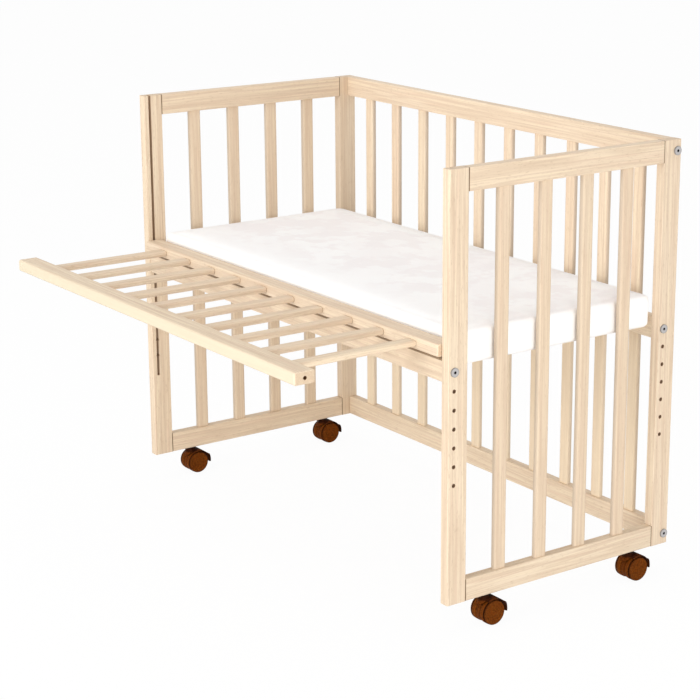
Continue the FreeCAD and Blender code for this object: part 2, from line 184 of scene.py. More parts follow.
class Nodes:
    """A node tree that expressions are built in."""

    def __init__(self, tree, output):
        self.tree = tree
        tree.nodes.clear()
        self.output = tree.nodes.new(output)

    def node(self, kind, settings=None, inputs=None, out=0):
        """A new node with these settings and inputs, as the value of one of its outputs."""
        made = self.tree.nodes.new(kind)
        for key, value in (settings or {}).items():
            setattr(made, key, value)
        for key, value in (inputs or {}).items():
            socket = made.inputs[key]
            if isinstance(value, Value):
                self.tree.links.new(value.socket, socket)
            else:
                socket.default_value = value
        return Value(self, made.outputs[out])

    def ends_with(self, value):
        self.tree.links.new(value.socket, self.output.inputs[0])

    def place(self):
        return self.node("ShaderNodeTexCoord", out="Object")

    def normal(self):
        return self.split(self.node("ShaderNodeTexCoord", out="Normal"))

    def looked_at(self):
        """1 for what is seen, also in a mirror or through glass, and 0 for light on things."""
        rays = self.tree.nodes.new("ShaderNodeLightPath")
        seen, mirrored, through = (Value(self, rays.outputs["Is %s Ray" % kind])
                                   for kind in ("Camera", "Glossy", "Transmission"))
        return (seen + mirrored + through).maths("MINIMUM", 1.0)

    def split(self, vector):
        made = self.tree.nodes.new("ShaderNodeSeparateXYZ")
        self.tree.links.new(vector.socket, made.inputs[0])
        return [Value(self, made.outputs[n]) for n in range(3)]

    def join(self, x, y, z):
        return self.node("ShaderNodeCombineXYZ", None, {"X": x, "Y": y, "Z": z})

    def stretched(self, vector, scale):
        return self.node("ShaderNodeMapping", {"vector_type": "POINT"},
                         {"Vector": vector, "Scale": scale})

    def noise(self, vector, scale=1.0, detail=2.0, roughness=0.5, distortion=0.0):
        return self.node("ShaderNodeTexNoise", None,
                         {"Vector": vector, "Scale": scale, "Detail": detail,
                          "Roughness": roughness, "Distortion": distortion}, "Fac")

    def random(self, vector):
        return self.node("ShaderNodeTexWhiteNoise", {"noise_dimensions": "3D"},
                         {"Vector": vector}, "Value")

    def mix(self, amount, first, second):
        return self.node("ShaderNodeMix", {"data_type": "RGBA"},
                         {0: amount, 6: first, 7: second}, 2)

    def either(self, amount, first, second):
        return self.node("ShaderNodeMixShader", None, {0: amount, 1: first, 2: second})

    def bump(self, height, strength, distance):
        return self.node("ShaderNodeBump", None,
                         {"Height": height, "Strength": strength, "Distance": distance})


class Finish(Nodes):
    """A material and its node tree."""

    def __init__(self, name):
        self.material = bpy.data.materials.new(name)
        self.material.use_nodes = True
        super().__init__(self.material.node_tree, "ShaderNodeOutputMaterial")

    def surface(self, **inputs):
        named = {key.replace("_", " "): value for key, value in inputs.items()}
        self.ends_with(self.node("ShaderNodeBsdfPrincipled", None, named))
        return self.material


def distance_of(across, up):
    """How far a point with these coordinates is from 0."""
    return ((across * across) + (up * up)).maths("SQRT")


def hole(across, up, radius):
    """1 in a round hole and just over its edge, from coordinates round its middle."""
    return distance_of(across, up).ramp(radius + 0.0003, radius + 0.0001)


def rgba(colour):
    return tuple(colour)[:3] + (1.0,)


def shade(colour, factor):
    return tuple(min(1.0, c * f) for c, f in zip(colour, factor)) + (1.0,)


# ---- finishes ----------------------------------------------------------------------------
def cell_of(grain, x, y, z):
    """Two numbers that tell the pieces with this grain apart: slats, bars and posts by their
    place along the panel, and rails by their level and by how far back they are."""
    if grain == "Z":
        return (x / LONG_PITCH).floor(), ((y - PANEL_MIDDLE) / END_PITCH).floor()
    if grain == "Y":
        return (x / LONG_PITCH).floor(), (z / 0.1).floor()
    # levels: base and lower rail, gate, upper rail; depths: outer rail, front, rear, back
    return (z > 0.455) + (z > 0.6) * 2, (y > 0.0) + (y > 0.352) * 2 - (y > -0.2) * 3


def planed_timber(name, grain, tone, contrast):
    """Pale planed timber with its grain along an axis. Each piece falls in a cell of its own,
    so it has a tone and a grain of its own."""
    f = Finish(name)
    place = f.place()
    x, y, z = f.split(place)
    cell = cell_of(grain, x, y, z)
    piece_tone = f.random(f.join(cell[0], cell[1], 3.7))
    piece_hue = f.random(f.join(1.3, cell[1], cell[0]))

    # every piece is cut from a different place in the tree
    drift = f.join(piece_tone * 3.1, piece_hue * 2.3, piece_tone * 1.7)
    shifted = f.node("ShaderNodeVectorMath", {"operation": "ADD"}, {0: place, 1: drift})

    def figure(along, across, **settings):
        """Noise drawn out along the grain: how often it changes along it and across it."""
        scale = tuple(along if axis == grain else across for axis in "XYZ")
        return f.noise(f.stretched(shifted, scale), **settings)

    sway = figure(1.6, 16.0, detail=1.0)
    rings = figure(1.3, 62.0, distortion=0.35)
    line = ((rings * 8.0 + sway * 4.0).maths("FRACT") - 0.5).absolute() * 2.0
    line = line.ramp(0.30, 1.0)
    band = figure(4.0, 215.0, roughness=0.55)
    warm = figure(6.0, 150.0, roughness=0.6)
    streak = figure(9.0, 480.0, detail=3.0, roughness=0.62)
    fleck = figure(95.0, 560.0, roughness=0.6).ramp(0.58, 0.70)
    cloud = figure(3.0, 9.0, detail=1.0)
    # end grain drinks more lacquer
    normal = f.normal()
    end_grain = normal["XYZ".index(grain)].absolute().ramp(0.85, 0.98)
    speckle = f.noise(place, scale=900.0)

    base = f.mix(piece_tone * 0.35 + cloud * 0.45, shade(tone, CREAM), rgba(tone))
    tints = [(piece_hue * 0.5, PINK),
             (warm.ramp(0.52, 0.66) * (0.55 * contrast), PINK),
             (band.ramp(0.50, 0.64) * (0.50 * contrast), TAN),
             (band.ramp(0.48, 0.36) * (0.60 * contrast), CREAM),
             (line * (0.42 * contrast), TAN),
             (streak.ramp(0.46, 0.66) * (0.42 * contrast), TAN),
             (fleck * (0.34 * contrast), FLECK),
             (end_grain * (speckle * 0.5 + 0.35), END_GRAIN)]
    if grain == "X":
        tints += outer_rail_tints(y, z)
    if grain == "Z":
        tints += slat_tints(x, y, z, normal)
    # painted shade in the joints, holes, bores and grooves
    joints, bore_shade = MARKS[grain](x, y, z)
    for amount, factor in tints + [(joints, JOINT_SHADE), (bore_shade, BORE_SHADE)]:
        base = f.mix(amount, base, shade(tone, factor))

    height = streak * 0.6 + line * 0.25 - fleck * 0.9 + speckle * (end_grain * 0.5)
    return f.surface(Base_Color=base, Roughness=streak * 0.16 + 0.44,
                     Normal=f.bump(height, 0.22, 0.0006), Specular_IOR_Level=0.34)


def outer_rail_tints(y, z):
    """Painted light on the outer face of the gate's outer rail, which is made paler and yellower,
    and painted shade along its lower edge.
    """
    # painted light: the outer face of the outer rail is made paler and yellower than the rest
    face = y.ramp(GATE_FACE + 0.0025, GATE_FACE + 0.0003)
    # painted shade: the rounded underside of the outer rail is made darker
    edge = (z.ramp(GATE_UNDER + 0.0023, GATE_UNDER + 0.0007)
            * y.ramp(GATE_FACE + 0.0045, GATE_FACE + 0.0025))
    return [(face * 0.82, FRONT_FACE_LIGHT), (edge * 0.55, UNDERSIDE_SHADE)]


def slat_tints(x, y, z, normal):
    """The slats of the end panels and the rear left post are a little darker than the other
    posts; painted light makes the back slats paler below, and painted shade makes the narrow
    sides of all slats darkest."""
    end_slats = (y - PANEL_MIDDLE).absolute().ramp(POST_REACH - 0.001, POST_REACH - 0.011)
    post = (x.ramp(0.005 - POST_INNER, -0.005 - POST_INNER)
            * y.beyond(PANEL_MIDDLE + POST_REACH - 0.0005))
    between = x.absolute().ramp(POST_INNER - 0.005, POST_INNER - 0.015)
    back_slats = y.beyond(BACK_FACE + 0.0005) * between
    # painted shade on the slats' narrow sides and rounded edges, by the way each surface turns
    narrow = normal[1].absolute() * end_slats + normal[0].absolute() * back_slats
    # painted light: the back slats are made paler below the mattress, and their narrow sides less
    # dark there
    low = back_slats * z.ramp(0.46, 0.36)
    return [(end_slats * 0.28 + post * 0.5, TAN), (low * 0.6, CREAM),
            (narrow.ramp(0.4, 0.95) * (0.75 - low * 0.35), NARROW_SIDE_SHADE)]


def upright_marks(x, y, z):
    """Painted shade in the joints and holes of the posts and slats: beside the end rails, where
    the slats go into a rail, in the height holes and in the grooves."""
    reach, height = (y - PANEL_MIDDLE).absolute(), (z - RAIL_MIDDLE).absolute()
    # painted shade in the gaps beside the end rails, and weaker where the slats go into a rail
    joints = reach.within(POST_REACH + 0.0004, 0.0005) * height.beyond(RAIL_REACH + 0.0002)
    mouth = height.beyond(RAIL_REACH - 0.0008) * (1 - reach.beyond(POST_REACH - 0.002))
    # the bolt itself is at level 0, and the six holes are at 1 to 6
    level = (BOLTS[0][1] - z) / HOLE_PITCH
    off = ((level + 0.5).maths("FRACT") - 0.5) * HOLE_PITCH
    # painted shade in the height holes and in the grooves
    holes = sum(hole(y - line, off, HOLE_RADIUS) for line in HOLE_LINES) * level.within(3.5, 2.7)
    groove = (y.within(HOLE_LINES[0], GROOVE_HALF) * z.beyond(GROOVE_LOW)
              * x.absolute().ramp(GROOVE_FLOOR + 0.0006, GROOVE_FLOOR))
    return joints * 0.85 + mouth * 0.3, holes * 0.75 + groove * 0.70


def crossing_marks(x, y, z):
    """Painted shade in the joints of what runs from front to back: the end rails between the
    posts, and the gate's bars between its rails."""
    # painted shade where the end rails meet the posts and where the bars meet the gate's rails
    rail = (y - PANEL_MIDDLE).absolute().beyond(POST_REACH - 0.001) * (1 - z.within(0.44, 0.05))
    bar = (y - BAR_MIDDLE).absolute().beyond(BAR_HALF - 0.00095) * z.within(GATE_LEVEL, 0.01)
    return rail * 0.9 + bar * 0.7, 0.0


def long_marks(x, y, z):
    """Painted shade in the joints and bores of the long rails: where they meet the posts, along
    the top of the base under the gate, and in the gate's lock bores."""
    # painted shade where the rails meet the posts, in the gap under the gate, and in the lock
    # bores
    ends = x.absolute().beyond(POST_INNER - 0.0007) * y.beyond(BASE_FACE - 0.0005)
    under = (y.ramp(BASE_FACE + 0.0017, BASE_FACE + 0.0011) * y.beyond(BASE_FACE - 0.0035)
             * z.within(BASE_TOP - 0.0013, 0.0016))
    return ends * 0.75 + under * 0.85, hole(y - LOCK_BORE[0], z - LOCK_BORE[1], LOCK_RADIUS)


MARKS = {"Z": upright_marks, "Y": crossing_marks, "X": long_marks}


# painted shade: the caster stems are made nearly black, for the shade in the gap between the
# collar and the rail
def dark_steel(name):
    f = Finish(name)
    haze = f.noise(f.place(), scale=300.0)
    base = f.mix(haze, (0.020, 0.011, 0.010, 1.0), (0.036, 0.022, 0.018, 1.0))
    return f.surface(Base_Color=base, Metallic=0.3, Roughness=haze * 0.2 + 0.5,
                     Specular_IOR_Level=0.2)


def zinc_steel(name):
    """Plated steel, with painted shade on the rim and in the socket of each bolt head."""
    f = Finish(name)
    place = f.place()
    x, y, z = f.split(place)
    spin = f.noise(f.stretched(place, (90.0, 900.0, 900.0)), detail=3.0)
    haze = f.noise(place, scale=160.0)
    base = f.mix(spin, (0.40, 0.385, 0.385, 1.0), (0.64, 0.62, 0.62, 1.0))
    base = f.mix(haze * 0.4, base, (0.47, 0.45, 0.44, 1.0))
    distance = 1.0
    for line, level in BOLTS:
        distance = distance_of(y - line, z - level).maths("MINIMUM", distance)
    outside = x.absolute().beyond(POST_OUTER - 0.0001)
    # painted shade on each bolt head's rim and in its socket
    rim = distance.ramp(BOLT_RIM - 0.0011, BOLT_RIM)
    socket = distance.ramp(SOCKET_RADIUS, SOCKET_RADIUS - 0.0004)
    base = f.mix(rim * outside * 0.55, base, (0.16, 0.15, 0.14, 1.0))
    base = f.mix(socket * outside, base, (0.012, 0.011, 0.012, 1.0))
    return f.surface(Base_Color=base, Metallic=0.6, Roughness=spin * 0.2 + 0.38,
                     Normal=f.bump(spin, 0.15, 0.0002))


def grained_plastic(name, tone, red, spread, back=0.0):
    """Dark moulded plastic with a fine spark-eroded grain, dull all over, with painted shade
    round the stem, on the rims and in the grooves of the wheels, and towards the back by this
    much."""
    f = Finish(name)
    place = f.place()
    x, y, z = f.split(place)
    grain = f.noise(place, scale=1300.0, detail=3.0, roughness=0.6)
    cloud = f.noise(place, scale=170.0)
    speck = f.noise(place, scale=430.0, detail=3.0, roughness=0.7)
    base = f.mix(cloud.ramp(0.3, 0.7) * spread, rgba(tone), rgba(red))
    base = f.mix(speck.ramp(0.50, 0.66) * 0.75, base, shade(tone, (1.8, 2.0, 2.2)))
    base = f.mix(speck.ramp(0.48, 0.32) * 0.60, base, shade(tone, (0.50, 0.38, 0.60)))
    # from the middle of each caster's axle: to the side, to the rear, and straight
    across = x.absolute() - STEM_X
    along = y - (PANEL_MIDDLE + STEM_TO_AXLE)
    rearward = along - along.maths("SIGN") * STEM_Y
    reach = distance_of(rearward, z - WHEEL_RADIUS)
    stem = distance_of(across, (y - PANEL_MIDDLE).absolute() - STEM_Y)
    # painted shade round the stem under the rail, in the wheels' grooves, on their rims and
    # towards the hood's back
    collar = stem.ramp(0.0185, 0.0120) * z.ramp(0.0390, 0.0440)
    groove = across.absolute().within(DISC_GROOVE, 0.0015)
    rim = (across.absolute().beyond(HALF_WIDTH - 0.0012)
           * reach.beyond(WHEEL_RADIUS - 0.0018, 0.0006))
    dark = collar * 0.85 + groove * 0.75 + rim * 0.45 + rearward.ramp(0.002, 0.012) * back
    base = f.mix(dark.maths("MINIMUM", 0.9), base, shade(tone, (0.16, 0.14, 0.9)))
    return f.surface(Base_Color=base, Roughness=cloud * 0.12 + 0.52 + grain * 0.1,
                     Normal=f.bump(grain, 0.35, 0.0003), Specular_IOR_Level=0.04)


def woven_cover(name, tone):
    """Fine plain-weave cotton over foam, with a thread about every half millimetre. The top
    has grey mottles of painted shade, but not close to its front edge."""
    f = Finish(name)
    place = f.place()
    x, y, z = f.split(place)
    threads = 2 * math.pi / 0.0011
    wobble = f.noise(place, scale=60.0, detail=1.0) * 0.0006
    across = ((x + wobble) * threads).maths("SINE")
    down = ((y + z + wobble) * threads).maths("SINE")
    weave = (across * down) * 0.5 + 0.5
    slub = f.noise(f.stretched(place, (600.0, 40.0, 600.0)))
    cloud = f.noise(place, scale=7.5, roughness=0.55)
    patch = f.noise(place, scale=19.0, detail=4.0, roughness=0.6)
    top = f.normal()[2].ramp(0.75, 0.97) * y.ramp(-0.068, 0.06)
    base = rgba(tone)
    # the first two are painted shade on the top only; the slubs are the cloth's own
    for amount, factor in ((cloud.ramp(0.42, 0.62) * 0.60 * top, (0.955, 0.93, 0.935)),
                           (patch.ramp(0.45, 0.57) * 0.75 * top, (0.93, 0.895, 0.90)),
                           (slub.ramp(0.60, 0.72) * 0.22, (0.93, 0.92, 0.91))):
        base = f.mix(amount, base, shade(tone, factor))
    return f.surface(Base_Color=base, Roughness=weave * 0.08 + 0.82,
                     Normal=f.bump(weave * 0.7 + slub * 0.6, 0.25, 0.0005),
                     Sheen_Weight=0.15, Sheen_Roughness=0.5)


# ---- meshes ------------------------------------------------------------------------------
def paint(obj, material):
    """Makes this the only material of an object."""
    obj.data.materials.clear()
    obj.data.materials.append(material)
    return obj


def to_object(name, mesh, material):
    made = bpy.data.objects.new(name, mesh)
    bpy.context.scene.collection.objects.link(made)
    return paint(made, material)


def smoothed(mesh):
    for polygon in mesh.polygons:
        polygon.use_smooth = True


def from_bmesh(name, bm, smooth=True):
    bmesh.ops.remove_doubles(bm, verts=bm.verts, dist=1e-7)
    bmesh.ops.recalc_face_normals(bm, faces=bm.faces)
    mesh = bpy.data.meshes.new(name)
    bm.to_mesh(mesh)
    bm.free()
    if smooth:
        smoothed(mesh)
    return mesh


def lathe(bm, profile, centre, steps=72):
    """Turns (x, radius) points round the line along X through the centre. Points on the line
    close the solid."""
    rings = []
    for x, radius in profile:
        if radius < 1e-7:
            rings.append([bm.verts.new((centre[0] + x, centre[1], centre[2]))])
            continue
        rings.append([bm.verts.new((centre[0] + x,
                                    centre[1] + radius * math.cos(2 * math.pi * n / steps),
                                    centre[2] + radius * math.sin(2 * math.pi * n / steps)))
                      for n in range(steps)])
    for one, two in zip(rings, rings[1:]):
        for n in range(steps):
            m = (n + 1) % steps
            if len(one) == 1 and len(two) > 1:
                bm.faces.new((one[0], two[n], two[m]))
            elif len(two) == 1 and len(one) > 1:
                bm.faces.new((one[n], two[0], one[m]))
            elif len(one) > 1:
                bm.faces.new((one[n], two[n], two[m], one[m]))


def drum(bm, half, radius, centre, steps):
    """A short cylinder along X, with the centre in its middle."""
    lathe(bm, [(-half, 0.0), (-half, radius), (half, radius), (half, 0.0)], centre, steps)


def swept(bm, section, centre, start, end, steps):
    """Carries a closed (x, radius) section round the axle from start to end degrees, where 0
    points to the rear and 90 up, and closes the ends."""
    rings = []
    for n in range(steps + 1):
        angle = math.radians(start + (end - start) * n / steps)
        rings.append([bm.verts.new((centre[0] + x, centre[1] + r * math.cos(angle),
                                    centre[2] + r * math.sin(angle))) for x, r in section])
    count = len(section)
    for one, two in zip(rings, rings[1:]):
        for n in range(count):
            m = (n + 1) % count
            bm.faces.new((one[n], one[m], two[m], two[n]))
    bm.faces.new(rings[0])
    bm.faces.new(rings[-1])


def rounded_section(half, low, high, corner, steps=4):
    """A rounded rectangle of (x, radius) points, x from -half to half."""
    points = []
    for sx, sr, start in SECTION_CORNERS:
        cx = sx * (half - corner)
        cr = (high - corner) if sr > 0 else (low + corner)
        for n in range(steps + 1):
            angle = math.radians(start + 90 * n / steps)
            points.append((cx + corner * math.cos(angle), cr + corner * math.sin(angle)))
    return points


def made_plain(obj):
    """Applies what is on an object."""
    mesh = bpy.data.meshes.new_from_object(
        obj.evaluated_get(bpy.context.evaluated_depsgraph_get()))
    obj.modifiers.clear()
    obj.data = mesh


def worn(obj, angle):
    """Takes the sharpness off edges that turn by more than this."""
    step = obj.modifiers.new("edges", "BEVEL")
    step.width, step.segments = WORN, 1
    step.limit_method, step.angle_limit = "ANGLE", math.radians(angle)
    step.harden_normals = False
    made_plain(obj)


# ---- sizes and colours that a user may change --------------------------------------------
class TimberSettings(bpy.types.PropertyGroup):
    tone: bpy.props.FloatVectorProperty(
        name="Timber", description="Colour of the planed timber", subtype="COLOR", size=3,
        min=0, max=1, default=(0.772, 0.636, 0.488))
    contrast: bpy.props.FloatProperty(
        name="Grain", description="How strongly the grain shows", default=1.0, min=0, max=2)


class MattressSettings(bpy.types.PropertyGroup):
    tone: bpy.props.FloatVectorProperty(
        name="Cover", description="Colour of the woven cover", subtype="COLOR", size=3,
        min=0, max=1, default=(1.0, 0.995, 0.99))
    swell: bpy.props.FloatProperty(
        name="Swell", description="How far the cover may move off the foam", subtype="DISTANCE",
        unit="LENGTH", default=0.004, min=0.0, max=0.01)
    hold: bpy.props.FloatProperty(
        name="Hold", description="How far the cover may lie inside the foam's outline",
        subtype="DISTANCE", unit="LENGTH", default=0.0008, min=0.0, max=0.01)
    voxel: bpy.props.FloatProperty(
        name="Mesh size", description="Size of the cover's mesh faces", subtype="DISTANCE",
        unit="LENGTH", default=0.006, min=0.003, max=0.02)


class CasterSettings(bpy.types.PropertyGroup):
    tone: bpy.props.FloatVectorProperty(
        name="Plastic", description="Colour of the moulded plastic", subtype="COLOR", size=3,
        min=0, max=1, default=(0.114, 0.0295, 0.0024))
    ribs: bpy.props.IntProperty(
        name="Pedal ribs", description="Grip ribs across each brake pedal", default=4, min=1,
        max=8)


class StageSettings(bpy.types.PropertyGroup):
    front: bpy.props.FloatProperty(
        name="Front lamp", description="Power of the wide lamp in front", subtype="POWER",
        unit="POWER", default=131.0, min=0)
    right: bpy.props.FloatProperty(
        name="Right lamp", description="Power of the lamp at the right end", subtype="POWER",
        unit="POWER", default=44.0, min=0)
    above: bpy.props.FloatProperty(
        name="Lamp above", description="Power of the lamp overhead", subtype="POWER",
        unit="POWER", default=25.0, min=0)
    sky: bpy.props.FloatProperty(
        name="Sky", description="Strength of the light from all round", default=0.65, min=0)


GROUPS = {"crib_timber": TimberSettings, "crib_mattress": MattressSettings,
          "crib_casters": CasterSettings, "crib_stage": StageSettings}


# ---- operators ---------------------------------------------------------------------------
GRAIN = {"post": "Z", "slat": "Z", "back_slat": "Z", "rail": "Y", "gate_bar": "Y",
         "base_slats": "Y", "back_rail": "X", "base_rail": "X", "gate_hinge": "X",
         "gate_outer": "X"}


def grain_of(node):
    """The axis that a timber node's grain runs along, or None for what isn't timber."""
    for start in sorted(GRAIN, key=len, reverse=True):
        if node.startswith(start):
            return GRAIN[start]
    return None


class CRIB_OT_timber(bpy.types.Operator):
    """Gives every post, rail, slat and bar its timber, with the grain along the piece"""
    bl_idname = "crib.timber"
    bl_label = "Finish timber"

    def execute(self, context):
        settings = context.scene.crib_timber
        finishes = {axis: planed_timber("timber_along_" + axis.lower(), axis, settings.tone,
                                        settings.contrast) for axis in "XYZ"}
        for name, node in NODES.items():
            grain = grain_of(name)
            if grain:
                paint(node, finishes[grain])
        return {"FINISHED"}


class CRIB_OT_fastenings(bpy.types.Operator):
    """Gives the bolts, inserts and pins their plated steel and the caster stems their dark one"""
    bl_idname = "crib.fastenings"
    bl_label = "Finish fastenings"

    def execute(self, context):
        # the stems' nearly black steel is painted shade
        steel, dark = zinc_steel("zinc_steel"), dark_steel("stem_steel")
        for name, finish in (("frame_bolts", steel), ("threaded_inserts", steel),
                             ("gate_pins", steel), ("caster_stems", dark)):
            paint(NODES[name], finish)
        return {"FINISHED"}


class CRIB_OT_mattress(bpy.types.Operator):
    """Builds the mattress as a swollen cover over foam"""
    bl_idname = "crib.mattress"
    bl_label = "Make mattress"

    def execute(self, context):
        settings = context.scene.crib_mattress
        low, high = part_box("mattress")
        mesh = NODES["mattress"].data.copy()
        cover = to_object("mattress_cover", mesh, woven_cover("woven_cover", settings.tone))
        # it starts a little smaller than the foam
        shrink = settings.hold * 1.5
        middle, half = (low + high) / 2, (high - low) / 2
        for vertex in mesh.vertices:
            for axis in range(3):
                vertex.co[axis] = middle[axis] + (vertex.co[axis] - middle[axis]) * (
                    1 - shrink / half[axis])
        remesh = cover.modifiers.new("even", "REMESH")
        remesh.mode, remesh.voxel_size = "VOXEL", settings.voxel
        remesh.use_smooth_shade = True
        made_plain(cover)
        self.swell(context, cover, settings.swell, low)
        smooth = cover.modifiers.new("soft", "SUBSURF")
        smooth.levels = smooth.render_levels = 1
        made_plain(cover)
        self.fit(cover.data, settings)
        smoothed(cover.data)
        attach(cover, "mattress")
        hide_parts("mattress")
        return {"FINISHED"}

    def fit(self, mesh, settings):
        """Brings each point to within the hold inside the foam, and to within a small rise
        outside it, larger on top."""
        foam = NODES["mattress"].data
        outline = BVHTree.FromPolygons([vertex.co for vertex in foam.vertices],
                                       [polygon.vertices for polygon in foam.polygons])
        for vertex in mesh.vertices:
            spot, normal, _, distance = outline.find_nearest(vertex.co)
            inside = (vertex.co - spot).dot(normal) < 0
            rise = 0.0004 + 0.6 * settings.swell * max(0, normal.z)
            most = settings.hold if inside else rise
            if distance > most:
                vertex.co = spot + (vertex.co - spot) * (most / distance)

    def swell(self, context, cover, most, low):
        """Lets the foam push the cover out, and holds it to a few millimetres. It lies flat
        on the slats."""
        scene, frames, gap = context.scene, 20, 0.0006
        start = [vertex.co.copy() for vertex in cover.data.vertices]
        cloth = cover.modifiers.new("swell", "CLOTH")
        settings = cloth.settings
        settings.use_pressure, settings.uniform_pressure_force = True, 4.0
        settings.effector_weights.gravity = 0.0
        settings.quality = 6
        settings.tension_stiffness = settings.compression_stiffness = 22.0
        settings.bending_stiffness = 1.2
        for number in range(1, frames + 1):
            scene.frame_set(number)
        made_plain(cover)
        scene.frame_set(1)
        for vertex, before in zip(cover.data.vertices, start):
            move = vertex.co - before
            if move.length > most:
                move *= most / move.length
            vertex.co = before + move
            vertex.co.z = max(vertex.co.z, low.z + gap)


def hub_of(caster):
    """The middle of a caster's axle, from its wheel set."""
    low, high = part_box(caster + "_wheels")
    return (low + high) / 2


class CRIB_OT_wheels(bpy.types.Operator):
    """Builds the twin wheels, with rounded treads and ringed discs"""
    bl_idname = "crib.wheels"
    bl_label = "Make wheels"

    def execute(self, context):
        tone = tuple(context.scene.crib_casters.tone)
        plastic = grained_plastic("wheel_plastic", tone, shade(tone, (1.35, 1.15, 1.0))[:3], 0.8)
        for name in CASTERS:
            centre = hub_of(name)
            bm = bmesh.new()
            for way in (1, -1):
                lathe(bm, [(way * x / 1000, radius / 1000) for x, radius in WHEEL], centre)
            drum(bm, AXLE_HALF, AXLE_RADIUS, centre, 24)
            mesh = from_bmesh(name + "_twin", bm)
            wheels = to_object(name + "_twin_wheels", mesh, plastic)
            worn(wheels, 40)
            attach(wheels, name + "_wheelset")
            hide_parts(name + "_wheels")
        return {"FINISHED"}


class CRIB_OT_housings(bpy.types.Operator):
    """Builds the caster hoods, with the web between the wheels and the swivel collar"""
    bl_idname = "crib.housings"
    bl_label = "Make caster hoods"

    def execute(self, context):
        tone = tuple(context.scene.crib_casters.tone)
        # the last number darkens the hood towards its back, painted shade
        plastic = grained_plastic("hood_plastic", shade(tone, (0.85, 0.8, 0.9))[:3],
                                  shade(tone, (1.25, 1.05, 1.0))[:3], 0.7, 0.65)
        # the web runs into the hood
        joined = HOOD_IN + 0.0004
        boss = WEB_HALF + 0.0004
        wall = (WEB_HALF - SLOT_HALF) / 2
        for name in CASTERS:
            centre = hub_of(name)
            bm = bmesh.new()
            swept(bm, rounded_section(HALF_WIDTH, HOOD_IN, HOOD_OUT, 0.0008), centre,
                  HOOD_START, HOOD_END, 34)
            # the web, whole but for the slot at the back, where it is two cheeks
            for start, end, top in ((SLOT_END, HOOD_END, joined),
                                    (HOOD_END - 1, SLOT_START + 360, WEB_OUT)):
                swept(bm, rounded_section(WEB_HALF, WEB_IN, top, 0.0006), centre, start, end,
                      (end - start) // 3)
            for start, end, top in ((SLOT_START - 1, HOOD_START + 1, WEB_OUT),
                                    (HOOD_START, SLOT_END + 1, joined)):
                for way in (-1, 1):
                    cheek = [(x + way * (SLOT_HALF + wall), radius)
                             for x, radius in rounded_section(wall, WEB_IN, top, 0.0003)]
                    swept(bm, cheek, centre, start, end, 18)
            # it is flat below
            for vertex in bm.verts:
                vertex.co.z = max(vertex.co.z, centre.z - WEB_LOW)
            lathe(bm, [(-boss, AXLE_BORE), (-boss, BOSS_RADIUS), (boss, BOSS_RADIUS),
                       (boss, AXLE_BORE)], centre, 32)
            mesh = from_bmesh(name + "_hood_mesh", bm)
            hood = to_object(name + "_hood", mesh, plastic)
            self.collar(hood, centre)
            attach(hood, name)
            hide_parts(name + "_housing")
        return {"FINISHED"}

    def collar(self, hood, centre):
        """Adds the swivel collar on top of the hood, stepped under its flange."""
        def back_of_hood(vertex, below=0.0):
            """The level of the hood's outside, or of what lies this far below it."""
            reach = vertex.co.y - centre.y
            return centre.z + math.sqrt(max(0.0, (HOOD_OUT - below) ** 2 - reach ** 2))

        bm = bmesh.new()
        bm.from_mesh(hood.data)
        x, y, steps = centre.x, centre.y - STEM_TO_AXLE, 48
        rings = [[bm.verts.new((x + r * math.cos(2 * math.pi * n / steps),
                                y + r * math.sin(2 * math.pi * n / steps),
                                centre.z + COLLAR_TOP - down))
                  for n in range(steps)] for r, down in COLLAR]
        # the last ring is dropped on to the hood's back
        for vertex in rings[-1]:
            vertex.co.z = back_of_hood(vertex, 0.0003)
        for vertex in rings[-2]:
            vertex.co.z = max(vertex.co.z, back_of_hood(vertex))
        rings.append([bm.verts.new((v.co.x, v.co.y, v.co.z - 0.0012)) for v in rings[-1]])
        for one, two in zip(rings, rings[1:]):
            for n in range(steps):
                m = (n + 1) % steps
                bm.faces.new((one[n], two[n], two[m], one[m]))
        bm.faces.new(rings[0])
        bm.faces.new(list(reversed(rings[-1])))
        bmesh.ops.recalc_face_normals(bm, faces=bm.faces)
        bm.to_mesh(hood.data)
        bm.free()
        smoothed(hood.data)
        worn(hood, 50)


